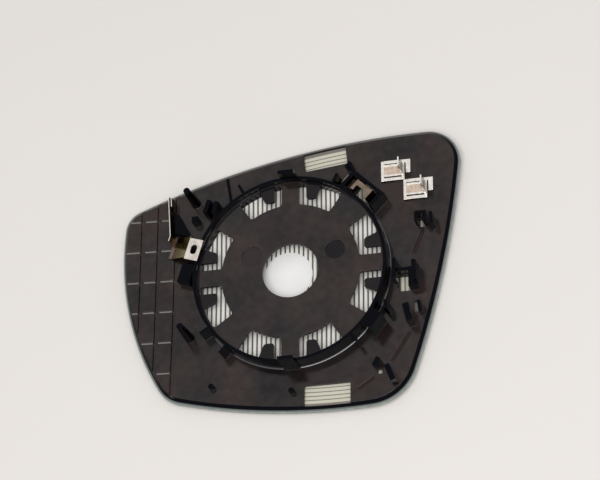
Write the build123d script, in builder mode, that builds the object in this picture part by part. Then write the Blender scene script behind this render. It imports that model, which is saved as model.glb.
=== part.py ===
from build123d import *
import os
from math import atan2, cos, degrees, hypot, radians, sin, sqrt, tan

# Convex door mirror glass lying on its face, with its heated film and moulded backing plate.
# The drum's axis is Z, the drum's floor is z = 0, and the glass faces down.

# Curved stack, from the mirror face up to the back of the plate
FRONT_RADIUS = 1400.0
GLASS_THICKNESS = 2.2
FILM_THICKNESS = 0.15
TRACK_THICKNESS = 0.25
LABEL_THICKNESS = 0.15
PLATE_THICKNESS = 2.0

# Glass outline: four bulged edges between four rounded corners
CORNER_TOP_LEFT = (-92.3, 42.5)
CORNER_TOP_RIGHT = (93.3, 72.8)
CORNER_BOTTOM_RIGHT = (59.8, -75.6)
CORNER_BOTTOM_LEFT = (-68.7, -65.0)
TOP_BULGE = 11.9
RIGHT_BULGE = 4.9
BOTTOM_BULGE = 6.0
LEFT_BULGE = 10.4
TOP_LEFT_RADIUS = 12.5
TOP_RIGHT_RADIUS = 19.0
BOTTOM_RIGHT_RADIUS = 26.0
BOTTOM_LEFT_RADIUS = 18.5
GLASS_EDGE_GRIND = 0.35
PLATE_INSET = 1.1
PLATE_EDGE_BEVEL = 1.6
FILM_INSET = 2.0

# Heater conductor on the film: border lines across the pry windows, and a serpentine inside them
TRACK_PITCH = 2.5
TRACK_WIDTH = 1.55
BORDER_LINES = 5
BORDER_PITCH = 2.2
BORDER_WIDTH = 1.65
BORDER_INSET = 4.3
BORDER_MIDDLE = 18.6
BORDER_LENGTH = 44.0
FIELD_INSET = 15.8
FIELD_LEFT = -60.0
BUS_WIDTH = 4.0
LABEL_RADIUS = 13.2
LABEL_CENTRE = (-3.2, 0.6)

# Drum that snaps over the actuator
DRUM_INNER_RADIUS = 50.7
DRUM_WALL = 1.8
DRUM_HEIGHT = 6.6
RIM_HEIGHT = 3.3
FLOOR_THICKNESS = 1.8
CENTRE_HOLE_RADIUS = 15.1
WINDOW_LEDGE = 0.7
WINDOW_DEPTH = 12.4
WINDOW_REACH_DEG = 34.5
WINDOW_CORNER = 1.6
SPOKE_HALF_WIDTH = 4.7
TONGUE_INNER_SIDE = 8.8
TONGUE_ROOT_WIDTH = 9.6
TONGUE_TIP_WIDTH = 5.2
TONGUE_TIP_CLEARANCE = 2.4
TONGUE_CORNER = 0.8
RIM_TAB_WIDTH = 8.6
RIM_TAB_RISE = 7.0
RIM_TAB_STEP = 0.8
RIM_TAB_WALL = 2.0
MOULD_MARKS = (((24.4, 9.4), 5.3), ((-21.0, 10.2), 5.6))
MOULD_MARK_DEPTH = 0.6

# Pry windows at the plate's top and bottom edges, closed by a narrow rim
TOP_NOTCH_MIDDLE = (18.5, 59.4)
TOP_NOTCH_WIDTH = 23.3
TOP_NOTCH_TURN = 5.4
BOTTOM_NOTCH_MIDDLE = (18.6, -63.2)
BOTTOM_NOTCH_WIDTH = 24.7
BOTTOM_NOTCH_TURN = 0.0
NOTCH_CORNER = 0.8
NOTCH_RIM = 1.3

# Scored grid of the flexible end
GRID_TURN = -0.7
GRID_COLUMNS = (-83.4, -74.4, -64.6)
GRID_FIRST_ROW = 37.0
GRID_ROW_PITCH = 17.55
GRID_ROWS = 6
COLUMN_SCORE_WIDTH = 1.8
COLUMN_SCORE_DEPTH = 0.8
ROW_SCORE_WIDTH = 1.6
ROW_SCORE_DEPTH = 0.4
WIRE_GROOVE_WIDTH = 1.4
WIRE_GROOVE_DEPTH = 0.35
WIRE_GROOVES = (((70.5, 17.1), (65.2, 4.6)), ((62.6, -39.2), (53.0, -54.3)), ((43.6, -62.0), (35.3, -67.7)))

# Uprights on the plate: the foot is sunk into the plate by EMBED
EMBED = 1.0
POST_FOOT_RADIUS = 2.8
POST_TIP_RADIUS = 1.8
POST_HEIGHT = 18.0
POST_SIDES = 16
POSTS = ((-53.6, 46.3), (-56.1, -30.6))
PIN_RADIUS = 1.5
PIN_HEIGHT = 3.0
PINS = ((-43.1, -60.0), (0.0, -66.0))
FIN_THICKNESS = 1.5
FIN_LENGTH = 6.0
FIN_HEIGHT = 9.6
FIN_ANGLES = (62.5, 118.5, -50.5, -130.0, -146.0)
PEG_MIDDLE = (-52.6, 34.8)
PEG_SIDE = 3.4
PEG_HEIGHT = 6.0
STEP_RIB_MIDDLE = (-35.1, 52.0)
STEP_RIB_LENGTH = 14.0
STEP_RIB_TURN = 8.8
STEP_RIB_HEIGHT = 0.9

# Hooks, arms and blades: middle, length, thickness, height, turn
GUIDES = (
    ((56.2, -6.0), 11.5, 2.0, 9.0, 90.0),
    ((65.9, -10.4), 11.0, 4.8, 6.0, 90.0),
    ((67.2, -8.1), 11.0, 2.2, 9.5, 93.0),
    ((60.6, -5.6), 7.0, 2.0, 5.0, 0.0),
    ((68.2, 22.1), 5.0, 1.4, 7.5, 90.0),
    ((72.8, 21.6), 5.5, 1.6, 8.0, 90.0),
    ((76.6, 20.3), 7.0, 1.6, 8.0, 98.0),
    ((70.5, 24.8), 6.0, 1.6, 6.5, 0.0),
    ((63.4, -31.4), 10.0, 3.4, 9.5, 103.0),
    ((69.2, -27.7), 6.5, 1.8, 6.5, 100.0),
    ((51.7, -25.5), 5.0, 2.0, 9.0, 90.0),
    ((53.8, -63.6), 9.5, 2.8, 9.0, 111.0),
    ((45.6, -55.4), 5.0, 2.0, 5.5, 60.0),
    ((-44.8, 40.0), 7.5, 2.4, 10.0, 72.0),
    ((-40.5, 39.2), 6.6, 2.4, 10.0, 75.0),
)
# Core windows under the hooks: middle, width, height
HOOK_WINDOWS = (
    ((60.4, -11.7), 6.0, 8.6),
    ((70.4, 21.2), 2.6, 4.6),
    ((66.5, -25.2), 3.0, 6.0),
    ((46.9, -59.4), 2.6, 2.6),
)

# Holder and spring clip at the upper right of the drum
RIGHT_CLIP_ANGLE = 46.4
HOLDER_WALL = 2.0
HOLDER_LENGTH = 27.6
HOLDER_SHIFT = 1.6
HOLDER_TOP = 3.0
HOLDER_BLOCK_TOP = 4.4
HOLDER_BLOCK_LENGTH = 2.0
HOLDER_BRIDGE_WIDTH = 2.0
HOLDER_BRIDGE_OFFSET = 9.4
HOLDER_BRIDGE_CLEARANCE = 0.4
CLIP_SHEET = 0.5
CLIP_DRUM_CLEARANCE = 1.5
CLIP_WALL_CLEARANCE = 0.6
CLIP_WIDTH = 6.0
CLIP_ARCH_HALF = 5.2
CLIP_LEG_RUN = 1.8
CLIP_ARCH_TOP = 2.0
CLIP_FOOT_LEVEL = -3.4
CLIP_SHORT_FOOT = 2.6
CLIP_LONG_FOOT = 7.2
CLIP_OPENING_WIDTH = 3.2
CLIP_OPENING_HALF = 3.6
CLIP_WINDOW_HALF = 4.6
CLIP_PAD_MARGIN = 0.4

# Holder block at the lower right of the drum
LOWER_HOLDER_ANGLE = -37.0
LOWER_BLOCK_LENGTH = 7.0
LOWER_BLOCK_WIDTH = 10.0
LOWER_BLOCK_HEIGHT = 12.5

# Spring clip at the left of the drum
LEFT_CLIP_ANGLE = 162.8
LEFT_CLIP_WIDTH = 12.0
LEFT_CLIP_REACH = 5.7
LEFT_CLIP_DROP_RUN = 10.0
LEFT_CLIP_FOOT = 1.6
LEFT_CLIP_FOOT_LEVEL = -4.0
LEFT_LEG_UP = 7.0
LEFT_LEG_DOWN = 5.2
LEFT_CLIP_SLOT = (5.4, 3.4)
STRIP_ROOT = -2.0
STRIP_SIDEWAYS = -5.0
STRIP_LENGTH = 22.0
STRIP_ANGLE = 93.5
STRIP_LOOP_WIDTH = 1.4
STRIP_LOOP_LENGTH = 5.0
STRIP_LOW = -3.9
STRIP_TOP = 3.8
WEDGE_CORNERS = ((-64.9, 41.2), (-61.8, 39.0), (-54.6, 25.4), (-64.2, 28.4))
WEDGE_HEIGHT = 5.0
LEFT_BLOCK_OFFSET = 12.3
LEFT_BLOCK_LENGTH = 7.0
LEFT_BLOCK_WIDTH = 11.5
LEFT_BLOCK_HEIGHT = 5.6

# Spade terminals at the upper right
UPPER_TERMINAL = (55.2, 52.4)
LOWER_TERMINAL = (67.2, 40.6)
TERMINAL_SHEET = 0.5
TERMINAL_LENGTH = 12.6
TERMINAL_DEPTH = 11.6
TERMINAL_FACE = (11.2, 6.8)
TERMINAL_FACE_RISE = 0.6
TERMINAL_FRAME = 1.0
TERMINAL_PANEL_DEPTH = 0.3
TERMINAL_STRIP = 1.7
TERMINAL_STRIP_RISE = 0.3
TERMINAL_EAR = 3.2
TERMINAL_EAR_DEPTH = 7.6
TERMINAL_SLOT = 0.7
BLADE_WIDTH = 6.3
BLADE_THICKNESS = 0.8
BLADE_HEIGHT = 11.0
BLADE_CHAMFER = 0.7
TERMINAL_PAD_RISE = 0.9

# Worked-out surfaces and levels
GLASS_BACK_RADIUS = FRONT_RADIUS - GLASS_THICKNESS
FILM_BACK_RADIUS = GLASS_BACK_RADIUS - FILM_THICKNESS
TRACK_BACK_RADIUS = FILM_BACK_RADIUS - TRACK_THICKNESS
PLATE_BACK_RADIUS = TRACK_BACK_RADIUS - PLATE_THICKNESS
SPHERE_Z = PLATE_BACK_RADIUS - DRUM_HEIGHT
STACK_LOW = SPHERE_Z - FRONT_RADIUS - 1.0
STACK_DEPTH = 30.0
DRUM_OUTER_RADIUS = DRUM_INNER_RADIUS + DRUM_WALL
CLIP_INNER_RADIUS = DRUM_OUTER_RADIUS + CLIP_DRUM_CLEARANCE
HOLDER_WALL_RADIUS = CLIP_INNER_RADIUS + CLIP_WIDTH + CLIP_WALL_CLEARANCE + HOLDER_WALL / 2
CORNERS = (CORNER_TOP_LEFT, CORNER_TOP_RIGHT, CORNER_BOTTOM_RIGHT, CORNER_BOTTOM_LEFT)
BULGES = (TOP_BULGE, RIGHT_BULGE, BOTTOM_BULGE, LEFT_BULGE)
CORNER_RADII = (TOP_LEFT_RADIUS, TOP_RIGHT_RADIUS, BOTTOM_RIGHT_RADIUS, BOTTOM_LEFT_RADIUS)
ON_FOOT = (Align.CENTER, Align.CENTER, Align.MIN)


def back_height(x, y):
    """Height of the plate's back over a point of the plan."""
    return SPHERE_Z - sqrt(PLATE_BACK_RADIUS**2 - x**2 - y**2)


def around(angle, radius, sideways=0.0):
    """Plan point at a radius along an angle, moved sideways along the tangent."""
    turn = radians(angle)
    return (radius * cos(turn) - sideways * sin(turn), radius * sin(turn) + sideways * cos(turn))


def on_grid(x, y):
    """Plan point of a place on the scored grid, which is turned a little."""
    turn = radians(GRID_TURN)
    return (x * cos(turn) - y * sin(turn), x * sin(turn) + y * cos(turn))


def outline(inset, height=STACK_LOW):
    """Glass outline drawn in by an inset, as plain arcs on a level plane."""
    with BuildSketch() as full:
        with BuildLine():
            for start, end, bulge in zip(CORNERS, CORNERS[1:] + CORNERS[:1], BULGES):
                SagittaArc(start, end, bulge)
        make_face()
        for corner, radius in zip(CORNERS, CORNER_RADII):
            fillet(full.vertices().sort_by_distance(Vector(*corner))[0], radius)
        if inset:
            offset(amount=-inset)
    with BuildSketch(Plane.XY.offset(height)) as profile:
        with BuildLine():
            for edge in full.edges():
                ThreePointArc(edge @ 0, edge @ 0.5, edge @ 1)
        make_face()
    return profile.sketch


def keep_layer(front_radius, back_radius):
    """Trim the part in hand to the shell between two concentric spheres."""
    with Locations((0, 0, SPHERE_Z)):
        Sphere(front_radius, rotation=(90, 0, 0), mode=Mode.INTERSECT)
        Sphere(back_radius, rotation=(90, 0, 0), mode=Mode.SUBTRACT)


def upright(middle, length, thickness, height, turn=0.0):
    """Add a straight-sided upright that stands on the plate."""
    foot = back_height(*middle) - EMBED
    with Locations(Location((*middle, foot), (0, 0, turn))):
        Box(length, thickness, height + EMBED, align=ON_FOOT)


def level_block(middle, length, thickness, top, turn=0.0):
    """Add a block that stands on the plate and ends at a stated level."""
    upright(middle, length, thickness, top - back_height(*middle), turn)


def score(start, end, width, depth):
    """Cut a V-groove that follows the plate's curve between two plan points."""
    centre = Vector(0, 0, SPHERE_Z)
    first = Vector(*start, back_height(*start))
    last = Vector(*end, back_height(*end))
    across = (first - centre).cross(last - centre).normalized()
    along = across.cross(first - centre).normalized()
    arc = (first - centre).get_angle(last - centre)
    with BuildSketch(Plane(first, x_dir=across, z_dir=along), mode=Mode.PRIVATE) as section:
        with BuildLine():
            Polyline((-width, depth), (0, -depth), (width, depth), close=True)
        make_face()
    revolve(section.sketch, Axis(centre, across), arc, mode=Mode.SUBTRACT)


RIGHT_CLIP_PLACE = Location((*around(RIGHT_CLIP_ANGLE, CLIP_INNER_RADIUS), 0), (0, 0, RIGHT_CLIP_ANGLE))

# Convex glass
with BuildPart() as mirror_glass:
    extrude(outline(0.0), amount=STACK_DEPTH)
    keep_layer(FRONT_RADIUS, GLASS_BACK_RADIUS)
    chamfer(mirror_glass.faces().filter_by(GeomType.SPHERE).edges(), GLASS_EDGE_GRIND)
mirror_glass.part.label = "mirror_glass"

# Heater film
with BuildPart() as heater_film:
    extrude(outline(FILM_INSET), amount=STACK_DEPTH)
    keep_layer(GLASS_BACK_RADIUS, FILM_BACK_RADIUS)
heater_film.part.label = "heater_film"

# Heater pattern: the field is cut into a serpentine by gaps from alternate ends
gap_width = TRACK_PITCH - TRACK_WIDTH
field_width = 2 * max(abs(corner[0]) for corner in CORNERS)
gap_count = int(field_width / (2 * TRACK_PITCH))
with BuildSketch(Plane.XY.offset(STACK_LOW)) as pattern:
    add(outline(FIELD_INSET, 0.0))
    for phase, shift in ((0.0, TRACK_WIDTH), (TRACK_PITCH, -TRACK_WIDTH)):
        with BuildSketch(mode=Mode.PRIVATE) as gaps:
            with Locations((phase, 0)):
                with GridLocations(2 * TRACK_PITCH, 0, gap_count, 1):
                    Rectangle(gap_width, field_width)
            add(outline(FIELD_INSET, 0.0).moved(Location((0, shift))), mode=Mode.INTERSECT)
        add(gaps.sketch, mode=Mode.SUBTRACT)

    # The field stops short of the flexible end
    with Locations((FIELD_LEFT, 0)):
        Rectangle(field_width, field_width, align=(Align.MIN, Align.CENTER), mode=Mode.INTERSECT)

    # Border lines across both pry windows, joined to the serpentine by a bus at each end
    with BuildSketch(mode=Mode.PRIVATE) as border:
        for line in range(BORDER_LINES):
            inset = BORDER_INSET + line * BORDER_PITCH
            add(outline(inset, 0.0))
            add(outline(inset + BORDER_WIDTH, 0.0), mode=Mode.SUBTRACT)
        with Locations((BORDER_MIDDLE, 0)):
            Rectangle(BORDER_LENGTH, field_width, mode=Mode.INTERSECT)
    with BuildSketch(mode=Mode.PRIVATE) as buses:
        with Locations((BORDER_MIDDLE, 0)):
            with GridLocations(BORDER_LENGTH, 0, 2, 1):
                Rectangle(BUS_WIDTH, field_width)
        add(outline(BORDER_INSET, 0.0), mode=Mode.INTERSECT)
        add(outline(FIELD_INSET + TRACK_WIDTH / 2, 0.0), mode=Mode.SUBTRACT)
    add(border.sketch)
    add(buses.sketch)

# Heater conductor
with BuildPart() as heater_tracks:
    extrude(pattern.sketch, amount=STACK_DEPTH)
    keep_layer(FILM_BACK_RADIUS, TRACK_BACK_RADIUS)
heater_tracks.part.label = "heater_tracks"

# Round label on the conductor, in the middle of the drum
with BuildPart() as label_disc:
    label_reach = hypot(*LABEL_CENTRE) + LABEL_RADIUS
    label_level = SPHERE_Z - sqrt(TRACK_BACK_RADIUS**2 - label_reach**2)
    with Locations((*LABEL_CENTRE, label_level)):
        Cylinder(LABEL_RADIUS, LABEL_THICKNESS, align=ON_FOOT)
label_disc.part.label = "label_disc"

# Windows in the drum's floor: one half of a pair, with its latch tongue left standing
window_outer = DRUM_INNER_RADIUS - WINDOW_LEDGE
window_inner = window_outer - WINDOW_DEPTH
tongue_tip = window_inner + TONGUE_TIP_CLEARANCE
with BuildSketch(Plane.XY.offset(-FLOOR_THICKNESS)) as window:
    Circle(window_outer)
    Circle(window_inner, mode=Mode.SUBTRACT)
    far = 2 * window_outer
    with BuildLine():
        Polyline(
            (SPOKE_HALF_WIDTH, SPOKE_HALF_WIDTH / tan(radians(WINDOW_REACH_DEG))),
            (SPOKE_HALF_WIDTH, far),
            (far * tan(radians(WINDOW_REACH_DEG)), far),
            close=True,
        )
    make_face(mode=Mode.INTERSECT)
    fillet(window.vertices(), WINDOW_CORNER)
    tongue_top = sqrt(window_outer**2 - TONGUE_INNER_SIDE**2) + DRUM_WALL
    with BuildSketch(mode=Mode.PRIVATE) as tongue:
        with BuildLine():
            Polyline(
                (TONGUE_INNER_SIDE, tongue_top),
                (TONGUE_INNER_SIDE, tongue_tip),
                (TONGUE_INNER_SIDE + TONGUE_TIP_WIDTH, tongue_tip),
                (TONGUE_INNER_SIDE + TONGUE_ROOT_WIDTH, tongue_top),
                close=True,
            )
        make_face()
        chamfer(tongue.vertices().group_by(Axis.Y)[0], TONGUE_CORNER)
    add(tongue.sketch, mode=Mode.SUBTRACT)

# Moulded backing plate
with BuildPart() as backing_plate:
    extrude(outline(PLATE_INSET), amount=STACK_DEPTH)
    keep_layer(TRACK_BACK_RADIUS, PLATE_BACK_RADIUS)
    back_face = backing_plate.faces().filter_by(GeomType.SPHERE).sort_by(Axis.Z)[-1]
    chamfer(back_face.edges(), PLATE_EDGE_BEVEL)

    # Drum wall, floor and centre hole
    drum_foot = back_height(DRUM_OUTER_RADIUS, 0) - EMBED
    with Locations((0, 0, drum_foot)):
        Cylinder(DRUM_OUTER_RADIUS, RIM_HEIGHT - drum_foot, align=ON_FOOT)
    with BuildSketch(Plane.XY.offset(STACK_LOW)):
        Circle(DRUM_INNER_RADIUS)
    extrude(amount=STACK_DEPTH, mode=Mode.SUBTRACT)
    with BuildSketch(Plane.XY.offset(-FLOOR_THICKNESS)):
        Circle(DRUM_OUTER_RADIUS)
        Circle(CENTRE_HOLE_RADIUS, mode=Mode.SUBTRACT)
        with PolarLocations(0, 4):
            add(window.sketch_local, mode=Mode.SUBTRACT)
            add(mirror(window.sketch_local, Plane.YZ, mode=Mode.PRIVATE), mode=Mode.SUBTRACT)
    extrude(amount=FLOOR_THICKNESS)
    for middle, radius in MOULD_MARKS:
        with Locations((*middle, -MOULD_MARK_DEPTH)):
            Cylinder(radius, MOULD_MARK_DEPTH, align=ON_FOOT, mode=Mode.SUBTRACT)
    tab_radius = DRUM_INNER_RADIUS + RIM_TAB_STEP + RIM_TAB_WALL / 2
    tab_top = RIM_HEIGHT + RIM_TAB_RISE
    for angle in (90, -90):
        level_block(around(angle, tab_radius), RIM_TAB_WALL, RIM_TAB_WIDTH, tab_top, angle)

    # Pry windows
    notches = (
        (TOP_NOTCH_MIDDLE, TOP_NOTCH_WIDTH, TOP_NOTCH_TURN, Align.MIN),
        (BOTTOM_NOTCH_MIDDLE, BOTTOM_NOTCH_WIDTH, BOTTOM_NOTCH_TURN, Align.MAX),
    )
    for middle, width, turn, side in notches:
        with BuildSketch(Plane.XY.offset(STACK_LOW)):
            with Locations(Location((*middle, 0), (0, 0, turn))):
                notch = Rectangle(width, width, align=(Align.CENTER, side))
            inner = notch.vertices().sort_by_distance(Vector(*middle))[:2]
            fillet(inner, NOTCH_CORNER)
            add(outline(PLATE_INSET + NOTCH_RIM, 0.0), mode=Mode.INTERSECT)
        extrude(amount=STACK_DEPTH, mode=Mode.SUBTRACT)

    # Windows under the hooks and under the right spring clip
    with BuildSketch(Plane.XY.offset(STACK_LOW)):
        for middle, width, height in HOOK_WINDOWS:
            with Locations(middle):
                Rectangle(width, height)
        with Locations(RIGHT_CLIP_PLACE):
            Rectangle(CLIP_WIDTH, 2 * CLIP_WINDOW_HALF, align=(Align.MIN, Align.CENTER))
    extrude(amount=STACK_DEPTH, mode=Mode.SUBTRACT)

    # Scored grid and wire grooves
    last_row = GRID_FIRST_ROW - (GRID_ROWS - 1) * GRID_ROW_PITCH
    grid_left = CORNER_TOP_LEFT[0] - LEFT_BULGE
    grid_top = GRID_FIRST_ROW + GRID_ROW_PITCH
    grid_bottom = last_row - GRID_ROW_PITCH
    for start, end in WIRE_GROOVES:
        score(start, end, WIRE_GROOVE_WIDTH, WIRE_GROOVE_DEPTH)
    for x in GRID_COLUMNS:
        score(on_grid(x, grid_top), on_grid(x, grid_bottom), COLUMN_SCORE_WIDTH, COLUMN_SCORE_DEPTH)
    for row in range(GRID_ROWS):
        y = GRID_FIRST_ROW - row * GRID_ROW_PITCH
        score(on_grid(grid_left, y), on_grid(GRID_COLUMNS[-1], y), ROW_SCORE_WIDTH, ROW_SCORE_DEPTH)

    # Posts, pins, fins and guides
    post_length = POST_HEIGHT + EMBED
    post_draft = degrees(atan2(POST_FOOT_RADIUS - POST_TIP_RADIUS, post_length))
    for middle in POSTS:
        with BuildSketch(Plane.XY.offset(back_height(*middle) - EMBED)):
            with Locations(middle):
                RegularPolygon(POST_FOOT_RADIUS, POST_SIDES)
        extrude(amount=post_length, taper=post_draft)
    for middle in PINS:
        with Locations((*middle, back_height(*middle) - EMBED)):
            Cylinder(PIN_RADIUS, PIN_HEIGHT + EMBED, align=ON_FOOT)
    fin_radius = DRUM_OUTER_RADIUS - DRUM_WALL / 2 + FIN_LENGTH / 2
    for angle in FIN_ANGLES:
        upright(around(angle, fin_radius), FIN_LENGTH, FIN_THICKNESS, FIN_HEIGHT, angle)
    upright(PEG_MIDDLE, PEG_SIDE, PEG_SIDE, PEG_HEIGHT)
    upright(STEP_RIB_MIDDLE, FIN_THICKNESS, STEP_RIB_LENGTH, STEP_RIB_HEIGHT, STEP_RIB_TURN)
    for middle, length, thickness, height, turn in GUIDES:
        upright(middle, length, thickness, height, turn)

    # Holder of the right spring clip, with the bridge over its long foot
    wall_middle = around(RIGHT_CLIP_ANGLE, HOLDER_WALL_RADIUS, HOLDER_SHIFT)
    level_block(wall_middle, HOLDER_WALL, HOLDER_LENGTH, HOLDER_TOP, RIGHT_CLIP_ANGLE)
    block_offset = HOLDER_LENGTH / 2 - HOLDER_BLOCK_LENGTH / 2
    block_depth = HOLDER_WALL_RADIUS - DRUM_OUTER_RADIUS
    block_middle = around(RIGHT_CLIP_ANGLE, DRUM_OUTER_RADIUS + block_depth / 2, HOLDER_SHIFT - block_offset)
    level_block(block_middle, block_depth, HOLDER_BLOCK_LENGTH, HOLDER_BLOCK_TOP, RIGHT_CLIP_ANGLE)
    bar_middle = around(RIGHT_CLIP_ANGLE, HOLDER_WALL_RADIUS + HOLDER_WALL / 2, HOLDER_SHIFT + block_offset)
    level_block(bar_middle, 2 * HOLDER_WALL, HOLDER_BLOCK_LENGTH, HOLDER_BLOCK_TOP, RIGHT_CLIP_ANGLE)
    clip_middle_radius = CLIP_INNER_RADIUS + CLIP_WIDTH / 2
    foot_start = CLIP_ARCH_HALF + CLIP_LEG_RUN
    pad_top = CLIP_FOOT_LEVEL - CLIP_SHEET / 2
    for reach, side in ((CLIP_SHORT_FOOT, -1), (CLIP_LONG_FOOT, 1)):
        pad_length = reach - CLIP_PAD_MARGIN
        pad_offset = foot_start + CLIP_PAD_MARGIN + pad_length / 2
        pad_middle = around(RIGHT_CLIP_ANGLE, clip_middle_radius, side * pad_offset)
        level_block(pad_middle, CLIP_WIDTH + 2 * CLIP_PAD_MARGIN, pad_length, pad_top, RIGHT_CLIP_ANGLE)
    bridge_low = CLIP_FOOT_LEVEL + CLIP_SHEET / 2 + HOLDER_BRIDGE_CLEARANCE
    bridge_middle = around(RIGHT_CLIP_ANGLE, DRUM_OUTER_RADIUS + block_depth / 2, HOLDER_BRIDGE_OFFSET)
    with Locations(Location((*bridge_middle, bridge_low), (0, 0, RIGHT_CLIP_ANGLE))):
        Box(block_depth + DRUM_WALL, HOLDER_BRIDGE_WIDTH, RIM_HEIGHT - bridge_low, align=ON_FOOT)

    # Holder block at the lower right
    lower_middle = around(LOWER_HOLDER_ANGLE, DRUM_OUTER_RADIUS + LOWER_BLOCK_LENGTH / 2)
    upright(lower_middle, LOWER_BLOCK_LENGTH, LOWER_BLOCK_WIDTH, LOWER_BLOCK_HEIGHT, LOWER_HOLDER_ANGLE)

    # Seats and guides of the left spring clip
    left_foot_radius = DRUM_OUTER_RADIUS + LEFT_CLIP_REACH + LEFT_CLIP_DROP_RUN
    leg_width = LEFT_LEG_UP + LEFT_LEG_DOWN
    leg_shift = (LEFT_LEG_DOWN - LEFT_LEG_UP) / 2
    left_pad_middle = around(LEFT_CLIP_ANGLE, left_foot_radius + LEFT_CLIP_FOOT / 2, leg_shift)
    left_pad_top = LEFT_CLIP_FOOT_LEVEL - CLIP_SHEET / 2
    level_block(left_pad_middle, LEFT_CLIP_FOOT, leg_width, left_pad_top, LEFT_CLIP_ANGLE)
    left_block_radius = DRUM_OUTER_RADIUS + LEFT_BLOCK_LENGTH / 2
    left_block_middle = around(LEFT_CLIP_ANGLE, left_block_radius, LEFT_BLOCK_OFFSET)
    upright(left_block_middle, LEFT_BLOCK_LENGTH, LEFT_BLOCK_WIDTH, LEFT_BLOCK_HEIGHT, LEFT_CLIP_ANGLE)
    with BuildSketch(Plane.XY.offset(back_height(*WEDGE_CORNERS[-1]) - EMBED)):
        with BuildLine():
            Polyline(*WEDGE_CORNERS, close=True)
        make_face()
    extrude(amount=WEDGE_HEIGHT)

    # Flat seats of the terminals
    for middle in (UPPER_TERMINAL, LOWER_TERMINAL):
        upright(middle, TERMINAL_LENGTH, TERMINAL_DEPTH, TERMINAL_PAD_RISE)
backing_plate.part.label = "backing_plate"


def terminal_sheet(middle):
    """Add a folded spade terminal that lies on its seat."""
    seat = back_height(*middle) + TERMINAL_PAD_RISE
    face_length, face_depth = TERMINAL_FACE
    with Locations((*middle, seat)):
        Box(TERMINAL_LENGTH, TERMINAL_DEPTH, TERMINAL_SHEET, align=ON_FOOT)
        Box(face_length, face_depth, TERMINAL_SHEET + TERMINAL_FACE_RISE, align=ON_FOOT)
        panel_level = TERMINAL_SHEET + TERMINAL_FACE_RISE - TERMINAL_PANEL_DEPTH
        panel_length = face_length - 2 * TERMINAL_FRAME
        panel_depth = face_depth - 2 * TERMINAL_FRAME
        with Locations((0, 0, panel_level)):
            Box(panel_length, panel_depth, TERMINAL_PANEL_DEPTH, align=ON_FOOT, mode=Mode.SUBTRACT)
        strip_offset = TERMINAL_DEPTH / 2 - TERMINAL_STRIP / 2
        strip_length = face_length - TERMINAL_STRIP
        with Locations((0, strip_offset), (0, -strip_offset)):
            Box(strip_length, TERMINAL_STRIP, TERMINAL_SHEET + TERMINAL_STRIP_RISE, align=ON_FOOT)
        gap_width = strip_offset - TERMINAL_STRIP / 2 - face_depth / 2
        gap_offset = face_depth / 2 + gap_width / 2
        with Locations((0, gap_offset), (0, -gap_offset)):
            Box(strip_length, gap_width, TERMINAL_SHEET, align=ON_FOOT, mode=Mode.SUBTRACT)
        ear_offset = TERMINAL_DEPTH / 2 - TERMINAL_EAR_DEPTH / 2
        slot_depth = TERMINAL_EAR_DEPTH - TERMINAL_STRIP
        with Locations((TERMINAL_LENGTH / 2 + TERMINAL_EAR / 2, ear_offset)):
            Box(TERMINAL_EAR, TERMINAL_EAR_DEPTH, TERMINAL_SHEET, align=ON_FOOT)
        with Locations((TERMINAL_LENGTH / 2 + TERMINAL_SLOT / 2, ear_offset - TERMINAL_STRIP / 2)):
            Box(TERMINAL_SLOT, slot_depth, TERMINAL_SHEET, align=ON_FOOT, mode=Mode.SUBTRACT)
        with Locations((face_length / 2 - BLADE_THICKNESS / 2, face_depth / 2 - BLADE_WIDTH / 2)):
            Box(BLADE_THICKNESS, BLADE_WIDTH, BLADE_HEIGHT, align=ON_FOOT)


# Two spade terminals
with BuildPart() as terminal_upper:
    terminal_sheet(UPPER_TERMINAL)
    chamfer(terminal_upper.edges().filter_by(Axis.X).group_by(Axis.Z)[-1], BLADE_CHAMFER)
terminal_upper.part.label = "terminal_upper"

with BuildPart() as terminal_lower:
    terminal_sheet(LOWER_TERMINAL)
    chamfer(terminal_lower.edges().filter_by(Axis.X).group_by(Axis.Z)[-1], BLADE_CHAMFER)
terminal_lower.part.label = "terminal_lower"

# Right spring clip: a bent leaf with a short and a long foot
right_turn = radians(RIGHT_CLIP_ANGLE)
right_plane = Plane(
    (*around(RIGHT_CLIP_ANGLE, CLIP_INNER_RADIUS), 0),
    x_dir=(-sin(right_turn), cos(right_turn), 0),
    z_dir=(cos(right_turn), sin(right_turn), 0),
)
with BuildPart() as spring_clip_right:
    with BuildSketch(right_plane):
        with BuildLine() as leaf:
            Polyline(
                (-foot_start - CLIP_SHORT_FOOT, CLIP_FOOT_LEVEL),
                (-foot_start, CLIP_FOOT_LEVEL),
                (-CLIP_ARCH_HALF, CLIP_ARCH_TOP),
                (CLIP_ARCH_HALF, CLIP_ARCH_TOP),
                (foot_start, CLIP_FOOT_LEVEL),
                (foot_start + CLIP_LONG_FOOT, CLIP_FOOT_LEVEL),
            )
        trace(leaf.line, CLIP_SHEET)
    extrude(amount=CLIP_WIDTH)
    with Locations(RIGHT_CLIP_PLACE):
        Box(
            CLIP_OPENING_WIDTH,
            2 * CLIP_OPENING_HALF,
            2 * CLIP_ARCH_TOP,
            align=(Align.MIN, Align.CENTER, Align.MIN),
            mode=Mode.SUBTRACT,
        )
spring_clip_right.part.label = "spring_clip_right"

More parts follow.
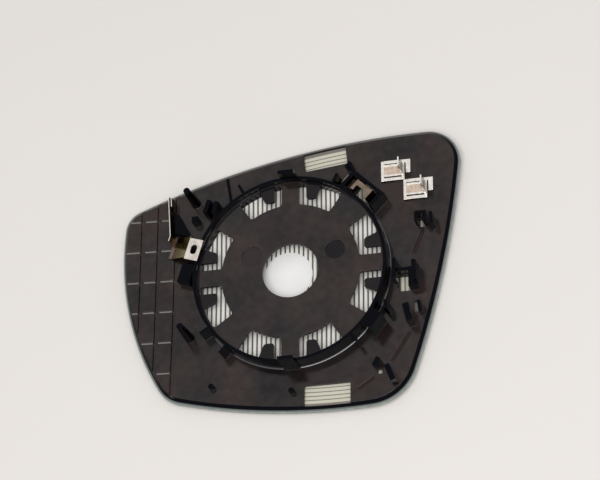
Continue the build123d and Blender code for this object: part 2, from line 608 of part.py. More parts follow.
# Left spring clip: a leaf over the rim, its foot, and the long strip standing on edge
left_turn = radians(LEFT_CLIP_ANGLE)
left_plane = Plane(
    (0, 0, 0), x_dir=(cos(left_turn), sin(left_turn), 0), z_dir=(sin(left_turn), -cos(left_turn), 0)
)
leaf_level = RIM_HEIGHT + CLIP_SHEET / 2
leaf_end = DRUM_OUTER_RADIUS + LEFT_CLIP_REACH
strip_radius = left_foot_radius + LEFT_CLIP_FOOT
with BuildPart() as spring_clip_left:
    with BuildSketch(left_plane):
        with BuildLine() as left_leaf:
            Polyline(
                (DRUM_INNER_RADIUS, leaf_level),
                (leaf_end, leaf_level),
                (left_foot_radius, LEFT_CLIP_FOOT_LEVEL),
                (left_foot_radius + LEFT_CLIP_FOOT, LEFT_CLIP_FOOT_LEVEL),
            )
        trace(left_leaf.line, CLIP_SHEET)
    extrude(amount=LEFT_LEG_UP, both=True)

    # The leaf keeps to its own width, and the leg stops short at its lower side
    trims = (
        (leaf_end, Align.MAX, -LEFT_CLIP_WIDTH / 2, Align.MAX),
        (leaf_end, Align.MAX, LEFT_CLIP_WIDTH / 2, Align.MIN),
        (leaf_end, Align.MIN, LEFT_LEG_DOWN, Align.MIN),
    )
    for radius, radial_side, sideways, side in trims:
        corner = around(LEFT_CLIP_ANGLE, radius, sideways)
        with Locations(Location((*corner, 0), (0, 0, LEFT_CLIP_ANGLE))):
            Box(
                DRUM_OUTER_RADIUS,
                LEFT_LEG_UP,
                STACK_DEPTH,
                align=(radial_side, side, Align.CENTER),
                mode=Mode.SUBTRACT,
            )
    slot_middle = around(LEFT_CLIP_ANGLE, (DRUM_INNER_RADIUS + leaf_end) / 2)
    with BuildSketch(Plane.XY):
        with Locations(Location((*slot_middle, 0), (0, 0, LEFT_CLIP_ANGLE + 90))):
            SlotOverall(*LEFT_CLIP_SLOT)
    extrude(amount=2 * leaf_level, mode=Mode.SUBTRACT)
    with BuildSketch(Plane.XY.offset(STRIP_LOW)):
        with BuildLine() as strip:
            root = around(LEFT_CLIP_ANGLE, strip_radius, STRIP_ROOT)
            corner = around(LEFT_CLIP_ANGLE, strip_radius, STRIP_SIDEWAYS)
            rise = Polyline(root, corner)
            run = PolarLine(rise @ 1, STRIP_LENGTH, STRIP_ANGLE)
            curl = JernArc(run @ 1, run % 1, STRIP_LOOP_WIDTH / 2, -180)
            Line(curl @ 1, curl @ 1 + (curl % 1) * STRIP_LOOP_LENGTH)
        trace(strip.line, CLIP_SHEET)
    extrude(amount=STRIP_TOP - STRIP_LOW)
spring_clip_left.part.label = "spring_clip_left"

nodes = (
    mirror_glass,
    heater_film,
    heater_tracks,
    label_disc,
    backing_plate,
    terminal_upper,
    terminal_lower,
    spring_clip_right,
    spring_clip_left,
)
os.makedirs("parts", exist_ok=True)
for node in nodes:
    export_step(node.part, f"parts/{node.part.label}.step")
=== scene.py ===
"""Looks of a heated car door mirror glass that lies on its face, seen from its moulded back."""

import logging
import math
from dataclasses import dataclass, field
from enum import Enum

import bmesh
import bpy
from mathutils import Color, Matrix, Vector


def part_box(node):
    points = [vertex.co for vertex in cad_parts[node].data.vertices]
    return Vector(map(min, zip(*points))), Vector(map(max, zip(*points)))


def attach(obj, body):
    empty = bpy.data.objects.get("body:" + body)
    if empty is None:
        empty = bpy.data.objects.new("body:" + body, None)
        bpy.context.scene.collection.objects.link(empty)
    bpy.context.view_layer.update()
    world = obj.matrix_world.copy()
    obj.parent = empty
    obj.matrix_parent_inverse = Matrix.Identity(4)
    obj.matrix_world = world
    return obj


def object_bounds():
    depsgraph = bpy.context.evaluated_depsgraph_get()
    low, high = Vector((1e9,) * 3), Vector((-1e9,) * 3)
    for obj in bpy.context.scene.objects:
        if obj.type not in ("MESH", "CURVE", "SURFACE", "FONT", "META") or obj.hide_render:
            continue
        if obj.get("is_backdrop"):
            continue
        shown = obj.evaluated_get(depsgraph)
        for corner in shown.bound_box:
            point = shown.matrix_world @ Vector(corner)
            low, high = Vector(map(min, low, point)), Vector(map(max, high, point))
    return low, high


logging.basicConfig(level=logging.INFO, format="%(message)s")
LOG = logging.getLogger("mirror_glass")

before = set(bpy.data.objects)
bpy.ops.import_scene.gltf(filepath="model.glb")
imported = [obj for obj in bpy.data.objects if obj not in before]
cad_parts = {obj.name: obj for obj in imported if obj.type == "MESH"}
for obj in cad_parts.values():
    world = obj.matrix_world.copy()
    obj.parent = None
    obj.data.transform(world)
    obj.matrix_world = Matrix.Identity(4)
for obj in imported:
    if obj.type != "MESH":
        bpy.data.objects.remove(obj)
CAD_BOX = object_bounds()
BODY = "root"

# Sizes in metres that several classes share, where the drum's reach ends just inside its wall
MM = 0.001
DRUM_REACH = 50.6 * MM
DRUM_WALL_RADIUS = 52.5 * MM
PLATE_LEVEL = -6.6 * MM
PLATE_RADIUS = 1395.4 * MM

# Settings that all finishes share
FULL_LEVEL = 255
MOTTLE_STOPS = (0.35, 0.65)
NOISE_MIDDLE = (0.3, 0.7)
WEAR_RATIO = 2.3
WEAR_DETAIL = 5.0
EDGE_SAMPLES = 6

Colour = tuple[float, float, float]
Limits = tuple[float, float]
Socket = bpy.types.NodeSocket
Value = Socket | float | tuple[float, ...]


class Node(Enum):
    """CAD nodes of the part."""

    GLASS = "mirror_glass"
    FILM = "heater_film"
    TRACKS = "heater_tracks"
    LABEL = "label_disc"
    PLATE = "backing_plate"
    TERMINAL_UPPER = "terminal_upper"
    TERMINAL_LOWER = "terminal_lower"
    CLIP_RIGHT = "spring_clip_right"
    CLIP_LEFT = "spring_clip_left"


def linear(colour: Colour) -> tuple[float, ...]:
    """Turn a colour as seen on screen into the shader's linear colour.

    Args:
        colour: Red, green and blue from 0 to 255.

    Returns:
        Linear red, green, blue and a full alpha.
    """
    shown = Color([part / FULL_LEVEL for part in colour])
    return (*shown.from_srgb_to_scene_linear(), 1.0)


def add_object(name: str, shape: bmesh.types.BMesh, material: bpy.types.Material) -> bpy.types.Object:
    """Turn a finished mesh into an object of the scene, at the origin.

    Args:
        name: Name of the object and its mesh.
        shape: The finished mesh, which is freed.
        material: Material of all its faces.

    Returns:
        The new object.
    """
    mesh = bpy.data.meshes.new(name)
    shape.to_mesh(mesh)
    shape.free()
    mesh.materials.append(material)
    made = bpy.data.objects.new(name, mesh)
    bpy.context.scene.collection.objects.link(made)
    return made


@dataclass
class Graph:
    """Shader nodes of one material or world, joined as they are added."""

    owner: bpy.types.Material | bpy.types.World
    shader: str = "Principled BSDF"

    @classmethod
    def of_material(cls, name: str) -> "Graph":
        """Start a new material with its standard shader.

        Args:
            name: Name of the material.

        Returns:
            The graph of the material.
        """
        material = bpy.data.materials.new(name)
        material.use_nodes = True
        return cls(material)

    def put(self, socket: Socket, value: Value) -> None:
        """Link an input to another socket, or set it to a fixed value.

        Args:
            socket: Input to be set.
            value: Socket to link, or the fixed value.
        """
        if isinstance(value, Socket):
            self.owner.node_tree.links.new(value, socket)
        else:
            socket.default_value = value

    def feed(self, name: str, value: Value) -> None:
        """Give one input of the shader its value."""
        self.put(self.owner.node_tree.nodes[self.shader].inputs[name], value)

    def add(self, kind: str, inputs: dict[str | int, Value], **settings: object) -> bpy.types.Node:
        """Add a node.

        Args:
            kind: Node type.
            inputs: Values of its inputs, by name or number.
            settings: Properties of the node, set before its inputs.

        Returns:
            The new node.
        """
        node = self.owner.node_tree.nodes.new(kind)
        for name, value in settings.items():
            setattr(node, name, value)
        for key, value in inputs.items():
            self.put(node.inputs[key], value)
        return node

    def place(self, output: str) -> tuple[Socket, ...]:
        """Split the piece's own coordinates or the direction of its surface.

        Args:
            output: Name of the coordinate output, Object or Normal.

        Returns:
            The x, y and z sockets.
        """
        source = self.add("ShaderNodeTexCoord", {})
        split = self.add("ShaderNodeSeparateXYZ", {"Vector": source.outputs[output]})
        return tuple(split.outputs[axis] for axis in "XYZ")

    def noise(self, scale: float, detail: float) -> Socket:
        """Add noise on the piece's own coordinates.

        Args:
            scale: Noise cells in a metre.
            detail: Octaves of the noise.

        Returns:
            The noise value socket.
        """
        source = self.add("ShaderNodeTexCoord", {})
        inputs = {"Vector": source.outputs["Object"], "Scale": scale, "Detail": detail}
        return self.add("ShaderNodeTexNoise", inputs).outputs["Fac"]

    def math(self, operation: str, first: Value, second: Value = 0.0) -> Socket:
        """Work out one value from two.

        Args:
            operation: Name of the operation.
            first: Socket or number.
            second: Socket or number, left out where the operation takes one value.

        Returns:
            The result socket.
        """
        return self.add("ShaderNodeMath", {0: first, 1: second}, operation=operation).outputs["Value"]

    def product(self, first: Socket, *others: Value) -> Socket:
        """Multiply values in turn.

        Args:
            first: First factor.
            others: Further factors, sockets or numbers.

        Returns:
            The product socket.
        """
        result = first
        for other in others:
            result = self.math("MULTIPLY", result, other)
        return result

    def scaled(self, value: Socket, source: Limits, target: Limits = (0.0, 1.0)) -> Socket:
        """Map a value from one range to another and hold it there.

        Args:
            value: Value to be mapped.
            source: Values that reach the ends of the target range.
            target: Results at the two ends.

        Returns:
            The mapped value socket.
        """
        inputs = {
            "Value": value,
            "From Min": source[0],
            "From Max": source[1],
            "To Min": target[0],
            "To Max": target[1],
        }
        return self.add("ShaderNodeMapRange", inputs).outputs["Result"]

    def mottle(self, scale: float, detail: float, dark: Colour, light: Colour) -> Socket:
        """Spread two colours in patches.

        Args:
            scale: Patches in a metre.
            detail: Octaves of the patches' outline.
            dark: Colour at low noise.
            light: Colour at high noise.

        Returns:
            The colour socket.
        """
        ramp = self.add("ShaderNodeValToRGB", {"Fac": self.noise(scale, detail)})
        for element, stop, colour in zip(ramp.color_ramp.elements, MOTTLE_STOPS, (dark, light)):
            element.position = stop
            element.color = linear(colour)
        return ramp.outputs["Color"]

    def blend(self, share: Socket, base: Socket, other: Colour) -> Socket:
        """Mix a fixed colour into another one.

        Args:
            share: Share of the fixed colour.
            base: Colour where the share is 0.
            other: Colour where the share is 1.

        Returns:
            The mixed colour socket.
        """
        inputs = {"Factor": share, "A": base, "B": linear(other)}
        return self.add("ShaderNodeMix", inputs, data_type="RGBA").outputs["Result"]

    def gloss(self, patch_scale: float, rough: Limits) -> Socket:
        """Vary the roughness on a finer scale than the colour's patches.

        Args:
            patch_scale: Patches of colour in a metre.
            rough: Least and greatest roughness.

        Returns:
            The roughness socket.
        """
        wear = self.noise(patch_scale * WEAR_RATIO, WEAR_DETAIL)
        return self.scaled(wear, NOISE_MIDDLE, rough)

    def rounded(self, radius: float) -> Socket:
        """Give sharp edges the look of a small round of this radius."""
        return self.add("ShaderNodeBevel", {"Radius": radius}, samples=EDGE_SAMPLES).outputs["Normal"]

    def reach(self) -> Socket:
        """Work out the squared distance from the drum's axis.

        Returns:
            The squared distance socket.
        """
        x, y, _ = self.place("Object")
        return self.math("ADD", self.product(x, x), self.product(y, y))

    def outside_drum(self) -> Socket:
        """Give 1 on and outside the drum's wall and 0 inside it."""
        return self.math("GREATER_THAN", self.reach(), DRUM_REACH**2)


@dataclass(frozen=True, kw_only=True)
class Finish:
    """Surface finish with mottled colour, uneven gloss and a fine relief.

    Upright sides can take a darker colour as painted shade, and places outside the drum and low places
    can have a colour of their own.
    """

    name: str
    light: Colour
    dark: Colour
    patch_scale: float
    rough: Limits
    grain_scale: float
    grain_depth: float
    metallic: float = 0.0
    specular: float = 0.5
    edge_round: float = 0.0
    # Darker colour painted as shade on sloped and upright faces
    side: Colour | None = None
    beyond: Colour | None = None
    low: Colour | None = None
    side_slopes: Limits = (0.97, 0.85)
    low_level: float = -3.4 * MM
    patch_detail: float = 4.0
    grain_detail: float = 3.0
    grain_strength: float = 0.35

    def colour(self, graph: Graph) -> Socket:
        """Mottle the surface and lay the painted shade of sides and the colours of outer and low places
        over it.

        Args:
            graph: Nodes of the material.

        Returns:
            The colour socket.
        """
        colour = graph.mottle(self.patch_scale, self.patch_detail, self.dark, self.light)
        # Sloped and upright faces take the side colour as painted shade
        if self.side:
            side_shade = graph.scaled(graph.place("Normal")[2], self.side_slopes)
            colour = graph.blend(side_shade, colour, self.side)
        if self.beyond:
            colour = graph.blend(graph.outside_drum(), colour, self.beyond)
        if self.low:
            foot = graph.math("LESS_THAN", graph.place("Object")[2], self.low_level)
            colour = graph.blend(foot, colour, self.low)
        return colour

    def relief(self, graph: Graph) -> Socket:
        """Give the surface its grain and, where asked for, rounded edges.

        Args:
            graph: Nodes of the material.

        Returns:
            The normal socket.
        """
        grain = graph.noise(self.grain_scale, self.grain_detail)
        inputs = {"Strength": self.grain_strength, "Distance": self.grain_depth, "Height": grain}
        if self.edge_round:
            inputs["Normal"] = graph.rounded(self.edge_round)
        return graph.add("ShaderNodeBump", inputs).outputs["Normal"]

    def material(self) -> bpy.types.Material:
        """Build the material.

        Returns:
            The node material.
        """
        graph = Graph.of_material(self.name)
        graph.feed("Base Color", self.colour(graph))
        graph.feed("Roughness", graph.gloss(self.patch_scale, self.rough))
        graph.feed("Normal", self.relief(graph))
        graph.feed("Metallic", self.metallic)
        graph.feed("Specular IOR Level", self.specular)
        return graph.owner


@dataclass(frozen=True)
class BlackMoulding:
    """Glossy moulding: a mottled brown-black plate, with walls, uprights and edges painted deep black as
    shade.

    The rows of the scored grid carry a painted pale highlight, and the wire grooves show a reddish
    floor.
    """

    name: str = "gloss_black_moulding"
    light: Colour = (43, 30, 28)
    dark: Colour = (20, 17, 18)
    # Near-black painted as shade on walls, edges and uprights
    shade_black: Colour = (18, 19, 24)
    # Pale colour painted on the scored rows as a highlight
    row_highlight: Colour = (118, 115, 112)
    groove: Colour = (44, 22, 24)
    patch_scale: float = 38.0
    patch_detail: float = 5.0
    cloud_scale: float = 22.8
    cloud_detail: float = 4.0
    cloud_dulling: float = 0.2
    scuff_scale: float = 230.0
    scuff_detail: float = 6.0
    scuff_dulling: float = 0.3
    rough: Limits = (0.11, 0.21)
    edge_round: float = 0.4 * MM
    steep_slopes: Limits = (0.87, 0.8)
    level_slope: float = 0.9
    raised_from: float = 0.45 * MM
    groove_from: float = -0.05 * MM
    groove_share: float = 0.5
    score_from: float = -0.6 * MM
    score_width: float = 0.9 * MM
    grid_from: float = -60.0 * MM
    grid_base: float = -68.3 * MM
    grid_pitch: float = 17.55 * MM
    grid_lean: float = 0.0122
    mark_from: float = -0.3 * MM
    mark_shares: Limits = (0.3, 0.65)
    # The latch tongues beside the spokes are painted darker as shade
    tongue_from: float = 38.9 * MM
    tongue_sides: Limits = (6.0 * MM, 22.0 * MM)
    tongue_shade_share: float = 0.6

    def height(self, graph: Graph) -> Socket:
        """Work out the height over the plate's curve.

        Args:
            graph: Nodes of the material.

        Returns:
            The height socket.
        """
        sag = graph.math("DIVIDE", graph.reach(), 2 * PLATE_RADIUS)
        over = graph.math("SUBTRACT", graph.place("Object")[2], PLATE_LEVEL)
        return graph.math("SUBTRACT", over, sag)

    def tongued(self, graph: Graph) -> Socket:
        """Find the latch tongues, which lie beside the four spokes of the drum's floor and are painted
        darker as shade.

        Args:
            graph: Nodes of the material.

        Returns:
            The tongues' share of painted shade on them and 0 elsewhere.
        """
        x, y, _ = graph.place("Object")
        across = graph.math("ABSOLUTE", x)
        along = graph.math("ABSOLUTE", y)
        far = graph.math("GREATER_THAN", graph.math("MAXIMUM", across, along), self.tongue_from)
        aside = graph.math("MINIMUM", across, along)
        clear = graph.math("GREATER_THAN", aside, self.tongue_sides[0])
        close = graph.math("LESS_THAN", aside, self.tongue_sides[1])
        return graph.product(far, clear, close, self.tongue_shade_share)

    def marked(self, graph: Graph) -> Socket:
        """Find the two round marks sunk in the drum's floor, of which the right one is darker.

        Args:
            graph: Nodes of the material.

        Returns:
            The marks' share of black under the floor's level and 0 elsewhere.
        """
        x, _, z = graph.place("Object")
        faint, strong = self.mark_shares
        below = graph.math("LESS_THAN", z, self.mark_from)
        on_right = graph.product(graph.math("GREATER_THAN", x, 0.0), strong - faint)
        return graph.product(below, graph.math("ADD", on_right, faint))

    def raised(self, graph: Graph) -> Socket:
        """Find the uprights and the drum's wall, which are painted black as shade, and the tongues and
        marks of its floor.

        Args:
            graph: Nodes of the material.

        Returns:
            A value of 1 on raised places, less on tongues and marks, and 0 elsewhere.
        """
        high = graph.math("GREATER_THAN", self.height(graph), self.raised_from)
        outside = graph.outside_drum()
        inside = graph.math("SUBTRACT", 1.0, outside)
        sunk = graph.math("MAXIMUM", self.marked(graph), self.tongued(graph))
        return graph.math("ADD", graph.product(high, outside), graph.product(sunk, inside))

    def steep(self, graph: Graph) -> Socket:
        """Give 1 on walls and edges, which are painted black as shade, and 0 on level faces."""
        return graph.scaled(graph.place("Normal")[2], self.steep_slopes)

    def grooved(self, graph: Graph) -> Socket:
        """Find the floors of the grooves that lie under the plate's curve.

        Args:
            graph: Nodes of the material.

        Returns:
            A value of 1 on the grooves' floors and 0 elsewhere.
        """
        under = graph.math("LESS_THAN", self.height(graph), self.groove_from)
        level = graph.math("GREATER_THAN", graph.place("Normal")[2], self.level_slope)
        return graph.product(under, level, graph.outside_drum())

    def in_grid(self, graph: Graph) -> Socket:
        """Give 1 in the flexible end with its scored grid and 0 elsewhere."""
        return graph.math("LESS_THAN", graph.place("Object")[0], self.grid_from)

    def scored(self, graph: Graph) -> Socket:
        """Find the upper half of the scored rows, where a pale highlight is painted.

        Args:
            graph: Nodes of the material.

        Returns:
            A value of 1 on the painted highlight lines and 0 elsewhere.
        """
        x, y, _ = graph.place("Object")
        along = graph.math("ADD", y, graph.product(x, self.grid_lean))
        rows = graph.math("DIVIDE", graph.math("SUBTRACT", along, self.grid_base), self.grid_pitch)
        upper = graph.math("LESS_THAN", graph.math("FRACT", rows), self.score_width / self.grid_pitch)
        shallow = graph.math("GREATER_THAN", self.height(graph), self.score_from)
        return graph.product(upper, shallow)

    def dulled(self, graph: Graph) -> Socket:
        """Darken the plate unevenly, by broad clouds and fine scuffs.

        Args:
            graph: Nodes of the material.

        Returns:
            The share of black socket.
        """
        clouds = graph.noise(self.cloud_scale, self.cloud_detail)
        scuffs = graph.noise(self.scuff_scale, self.scuff_detail)
        cloudy = graph.scaled(clouds, NOISE_MIDDLE, (self.cloud_dulling, 0.0))
        scuffed = graph.scaled(scuffs, NOISE_MIDDLE, (self.scuff_dulling, 0.0))
        return graph.math("ADD", cloudy, scuffed)

    def material(self) -> bpy.types.Material:
        """Build the material, in which places painted black as shade are a very dark metal that only
        mirrors.

        Returns:
            The node material.
        """
        graph = Graph.of_material(self.name)
        # Painted shade: walls, edges, uprights and the tongues of the drum's floor are painted
        # near-black as a dark metal that only mirrors; the sunk marks are darkened too
        black = graph.math("MAXIMUM", self.raised(graph), self.steep(graph))
        grooved = self.grooved(graph)
        in_grid = graph.product(grooved, self.in_grid(graph))
        # Painted highlight: the upper half of each scored row's floor is painted pale and kept out of
        # the metal
        row_highlight = graph.product(in_grid, self.scored(graph))
        wired = graph.math("SUBTRACT", grooved, in_grid)
        colour = graph.mottle(self.patch_scale, self.patch_detail, self.dark, self.light)
        colour = graph.blend(black, colour, self.shade_black)
        colour = graph.blend(wired, colour, self.groove)
        colour = graph.blend(row_highlight, colour, self.row_highlight)
        graph.feed("Base Color", colour)
        metal = graph.math("MAXIMUM", black, graph.product(wired, self.groove_share))
        metal = graph.math("MAXIMUM", metal, self.dulled(graph))
        graph.feed("Metallic", graph.product(metal, graph.math("SUBTRACT", 1.0, row_highlight)))
        graph.feed("Roughness", graph.gloss(self.patch_scale, self.rough))
        graph.feed("Normal", graph.rounded(self.edge_round))
        return graph.owner


@dataclass(frozen=True)
class SilveredGlass:
    """Mirror glass: a silvered face, a grey back that shows as a rim, and a ground edge."""

    name: str = "silvered_glass"
    silver: Colour = (226, 230, 230)
    back: Colour = (112, 118, 114)
    edge: Colour = (122, 129, 127)
    frost: Colour = (146, 154, 152)
    frost_scale: float = 260.0
    frost_detail: float = 4.0
    face_slopes: Limits = (-0.9, -0.95)
    back_slopes: Limits = (0.9, 0.95)
    rough_edge: float = 0.4
    rough_face: float = 0.03

    def material(self) -> bpy.types.Material:
        """Build the material, with the face and back told apart by the surface's own direction.

        Returns:
            The node material.
        """
        graph = Graph.of_material(self.name)
        upward = graph.place("Normal")[2]
        on_face = graph.scaled(upward, self.face_slopes)
        on_back = graph.scaled(upward, self.back_slopes)
        colour = graph.mottle(self.frost_scale, self.frost_detail, self.edge, self.frost)
        colour = graph.blend(on_back, colour, self.back)
        colour = graph.blend(on_face, colour, self.silver)
        graph.feed("Base Color", colour)
        graph.feed("Metallic", on_face)
        graph.feed("Roughness", graph.scaled(on_face, (0.0, 1.0), (self.rough_edge, self.rough_face)))
        return graph.owner


class Finishes(Enum):
    """Finishes of the pieces and the table."""

    GLASS = SilveredGlass()
    PLATE = BlackMoulding()
    FILM = Finish(
        name="grey_heater_film",
        light=(112, 105, 103),
        dark=(94, 88, 85),
        patch_scale=90.0,
        rough=(0.35, 0.5),
        grain_scale=2500.0,
        grain_depth=0.01 * MM,
        beyond=(128, 120, 114),
    )
    TRACKS = Finish(
        name="pale_conductor",
        light=(249, 248, 242),
        dark=(242, 240, 232),
        patch_scale=120.0,
        rough=(0.45, 0.6),
        grain_scale=3000.0,
        grain_depth=0.01 * MM,
        beyond=(201, 198, 181),
    )
    LABEL = Finish(
        name="blank_sticker",
        light=(246, 245, 244),
        dark=(239, 238, 236),
        patch_scale=60.0,
        rough=(0.4, 0.55),
        grain_scale=3500.0,
        grain_depth=0.01 * MM,
    )
    TIN = Finish(
        name="tinned_sheet",
        light=(246, 243, 238),
        dark=(228, 222, 212),
        patch_scale=420.0,
        rough=(0.16, 0.3),
        grain_scale=1800.0,
        grain_depth=0.02 * MM,
        metallic=1.0,
        edge_round=0.2 * MM,
        # Sloped and upright faces painted darker as shade
        side=(150, 142, 134),
    )
    PANEL = Finish(
        name="dull_tin_panel",
        light=(214, 196, 180),
        dark=(188, 166, 150),
        patch_scale=700.0,
        rough=(0.35, 0.5),
        grain_scale=2200.0,
        grain_depth=0.03 * MM,
        metallic=1.0,
    )
    LEFT_STEEL = Finish(
        name="bright_spring_steel",
        light=(234, 228, 221),
        dark=(206, 197, 186),
        patch_scale=260.0,
        rough=(0.14, 0.26),
        grain_scale=1500.0,
        grain_depth=0.02 * MM,
        metallic=1.0,
        edge_round=0.2 * MM,
        # Sloped and upright faces painted darker as shade
        side=(132, 122, 88),
        low=(118, 100, 94),
    )
    RIGHT_STEEL = Finish(
        name="dull_spring_steel",
        light=(146, 122, 116),
        dark=(108, 101, 78),
        patch_scale=170.0,
        rough=(0.2, 0.34),
        grain_scale=1500.0,
        grain_depth=0.02 * MM,
        metallic=1.0,
        edge_round=0.2 * MM,
        # Sloped and upright faces painted darker as shade
        side=(96, 84, 66),
    )
    FILLET = Finish(
        name="polished_black",
        light=(34, 36, 44),
        dark=(26, 28, 35),
        patch_scale=60.0,
        rough=(0.05, 0.1),
        grain_scale=900.0,
        grain_depth=0.01 * MM,
        specular=1.0,
    )
    FLOOR = Finish(
        name="pale_table",
        light=(230, 226, 222),
        dark=(229, 225, 221),
        patch_scale=4.0,
        rough=(0.6, 0.7),
        grain_scale=300.0,
        grain_depth=0.1 * MM,
        specular=0.1,
    )

    def material(self) -> bpy.types.Material:
        """Build the material of this finish."""
        return self.value.material()


@dataclass
class CarriedNodes:
    """CAD nodes that keep their shape and take a finer finish."""

    finishes: dict[Node, Finishes] = field(
        default_factory=lambda: {
            Node.FILM: Finishes.FILM,
            Node.TRACKS: Finishes.TRACKS,
            Node.LABEL: Finishes.LABEL,
            Node.PLATE: Finishes.PLATE,
            Node.TERMINAL_UPPER: Finishes.TIN,
            Node.TERMINAL_LOWER: Finishes.TIN,
            Node.CLIP_RIGHT: Finishes.RIGHT_STEEL,
            Node.CLIP_LEFT: Finishes.LEFT_STEEL,
            Node.GLASS: Finishes.GLASS,
        }
    )

    def dress(self) -> None:
        """Put the finishes into the nodes' material slots, with one material for each finish."""
        made: dict[Finishes, bpy.types.Material] = {}
        for node, finish in self.finishes.items():
            if finish not in made:
                made[finish] = finish.material()
            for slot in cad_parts[node.value].material_slots:
                slot.material = made[finish]
            LOG.info("%s wears %s", node.value, made[finish].name)


@dataclass
class TerminalPanel:
    """Dull panel that lies in the sunk face of one spade terminal."""

    node: Node
    material: bpy.types.Material
    length: float = 8.9 * MM
    depth: float = 4.5 * MM
    sheet: float = 0.14 * MM
    level: float = 0.8 * MM
    body_length: float = 12.6 * MM
    corner: float = 0.06 * MM

    def middle(self) -> Vector:
        """Find the middle of the panel from the terminal's own place.

        Returns:
            The middle of the panel.
        """
        low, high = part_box(self.node.value)
        across = low.x + self.body_length / 2
        return Vector((across, (low.y + high.y) / 2, low.z + self.level + self.sheet / 2))

    def build(self) -> bpy.types.Object:
        """Make the panel with softened edges.

        Returns:
            The panel.
        """
        shape = bmesh.new()
        size = Matrix.Diagonal((self.length, self.depth, self.sheet, 1.0))
        bmesh.ops.create_cube(shape, size=1.0, matrix=Matrix.Translation(self.middle()) @ size)
        edges = shape.edges[:]
        bmesh.ops.bevel(
            shape, geom=edges, offset=self.corner, affect="EDGES", segments=2, profile=0.5, material=-1
        )
        bmesh.ops.recalc_face_normals(shape, faces=shape.faces)
        panel = add_object(f"{self.node.value}_panel", shape, self.material)
        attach(panel, BODY)
        LOG.info("panel on %s", self.node.value)
        return panel


@dataclass
class DrumFillet:
    """Polished fillet that rounds the foot of the drum's wall into the plate."""

    material: bpy.types.Material
    radius: float = 0.8 * MM
    root: float = 0.1 * MM
    segments: int = 8
    steps: int = 180

    def profile(self) -> list[Vector]:
        """Draw the fillet's section, a hollow arc closed by a corner sunk in the wall and the plate.

        Returns:
            The points of the section.
        """
        outer = DRUM_WALL_RADIUS + self.radius
        inner = DRUM_WALL_RADIUS - self.root
        level = PLATE_LEVEL + outer**2 / (2 * PLATE_RADIUS)
        points = []
        for step in range(self.segments + 1):
            turn = math.pi / 2 * step / self.segments
            across = outer - self.radius * math.cos(turn)
            points.append(Vector((across, 0.0, level + self.radius * (1 - math.sin(turn)))))
        points.append(Vector((outer, 0.0, level - self.root)))
        points.append(Vector((inner, 0.0, level - self.root)))
        points.append(Vector((inner, 0.0, level + self.radius)))
        return points

    def build(self) -> bpy.types.Object:
        """Spin the section round the drum's axis.

        Returns:
            The fillet.
        """
        shape = bmesh.new()
        corners = [shape.verts.new(point) for point in self.profile()]
        for first, second in zip(corners, corners[1:] + corners[:1]):
            shape.edges.new((first, second))
        bmesh.ops.spin(
            shape, geom=shape.verts[:] + shape.edges[:], cent=(0, 0, 0), axis=(0, 0, 1), dvec=(0, 0, 0),
            angle=2 * math.pi, steps=self.steps, use_merge=True,
        )
        bmesh.ops.recalc_face_normals(shape, faces=shape.faces)
        for face in shape.faces:
            face.smooth = True
        fillet = add_object("drum_fillet", shape, self.material)
        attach(fillet, BODY)
        LOG.info("fillet round the drum")
        return fillet


@dataclass(frozen=True)
class SoftBox:
    """One wide square lamp that faces the glass."""

    name: str
    place: tuple[float, float, float]
    side: float
    watts: float

    def build(self) -> None:
        """Hang the lamp."""
        light = bpy.data.lights.new(self.name, "AREA")
        light.shape = "SQUARE"
        light.size = self.side
        light.energy = self.watts
        lamp = bpy.data.objects.new(self.name, light)
        lamp.location = self.place
        lamp.rotation_euler = (-Vector(self.place)).to_track_quat("-Z", "Y").to_euler()
        bpy.context.scene.collection.objects.link(lamp)
        LOG.info("lamp %s at %s", self.name, self.place)


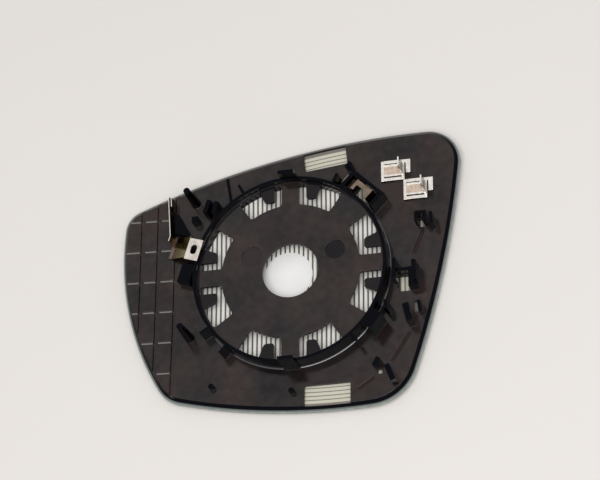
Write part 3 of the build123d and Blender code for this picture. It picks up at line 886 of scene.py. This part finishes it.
@dataclass
class Studio:
    """Pale table, soft light and the camera."""

    floor_side: float = 6.0
    floor_cells: int = 2
    tilt_deg: float = 27.5
    azimuth_deg: float = 31.0
    roll_deg: float = -34.09
    distance: float = 1.4
    lens_mm: float = 159.66
    sensor_mm: float = 36.0
    clip_start: float = 0.01
    aim_mm: tuple[float, float, float] = (5.35, 16.72, 0.0)
    sky_colour: tuple[float, ...] = (1.0, 0.988, 0.978, 1.0)
    sky_fill: float = 0.5
    sky_seen: float = 0.86
    lamp: SoftBox = SoftBox("front_box", place=(0.22, -0.58, 1.68), side=1.3, watts=21.3)

    def build(self) -> None:
        """Make the floor, the world, the lamp and the camera."""
        self.floor()
        self.world()
        self.lamp.build()
        self.camera()

    def floor(self) -> None:
        """Lay the pale table under the glass."""
        cells = self.floor_cells
        shape = bmesh.new()
        bmesh.ops.create_grid(shape, x_segments=cells, y_segments=cells, size=self.floor_side / 2)
        bmesh.ops.translate(shape, verts=shape.verts, vec=(0, 0, CAD_BOX[0][2]))
        table = add_object("table", shape, Finishes.FLOOR.material())
        table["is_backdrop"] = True
        LOG.info("table under the glass")

    def world(self) -> None:
        """Light the object from an even pale sky that looks whiter in mirror images than it lights."""
        world = bpy.data.worlds.new("studio_sky")
        world.use_nodes = True
        graph = Graph(world, "Background")
        path = graph.add("ShaderNodeLightPath", {})
        seen = graph.math("MAXIMUM", path.outputs["Is Camera Ray"], path.outputs["Is Glossy Ray"])
        graph.feed("Color", self.sky_colour)
        graph.feed("Strength", graph.scaled(seen, (0.0, 1.0), (self.sky_fill, self.sky_seen)))
        bpy.context.scene.world = world

    def camera(self) -> None:
        """Look down on the back of the glass from the tilt, azimuth and roll of the fields."""
        tilt, azimuth, roll = (math.radians(v) for v in (self.tilt_deg, self.azimuth_deg, self.roll_deg))
        aside = Vector((math.sin(azimuth), -math.cos(azimuth), 0))
        away = math.sin(tilt) * aside + Vector((0, 0, math.cos(tilt)))
        level = Vector((math.cos(azimuth), math.sin(azimuth), 0))
        rise = away.cross(level)
        right = math.cos(roll) * level + math.sin(roll) * rise
        upward = math.cos(roll) * rise - math.sin(roll) * level
        lens = bpy.data.cameras.new("camera")
        lens.lens = self.lens_mm
        lens.sensor_width = self.sensor_mm
        lens.clip_start = self.clip_start
        camera = bpy.data.objects.new("camera", lens)
        turn = Matrix((right, upward, away)).transposed().to_4x4()
        aim = Vector(self.aim_mm) * MM
        camera.matrix_world = Matrix.Translation(aim + away * self.distance) @ turn
        bpy.context.scene.collection.objects.link(camera)
        bpy.context.scene.camera = camera


def write_sizes() -> None:
    """Turn the CAD box and the visual model's box into plain lists beside each other."""
    boxes = {"cad": CAD_BOX, "visual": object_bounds()}
    plain = {name: [[float(v) for v in corner] for corner in box] for name, box in boxes.items()}


def main() -> None:
    """Dress the part, add its trim and set up the studio."""
    bpy.context.scene.view_settings.view_transform = "Standard"
    CarriedNodes().dress()
    dull_tin = Finishes.PANEL.material()
    for node in (Node.TERMINAL_UPPER, Node.TERMINAL_LOWER):
        TerminalPanel(node, dull_tin).build()
    DrumFillet(Finishes.FILLET.material()).build()
    Studio().build()
    write_sizes()


if __name__ == "__main__":
    main()
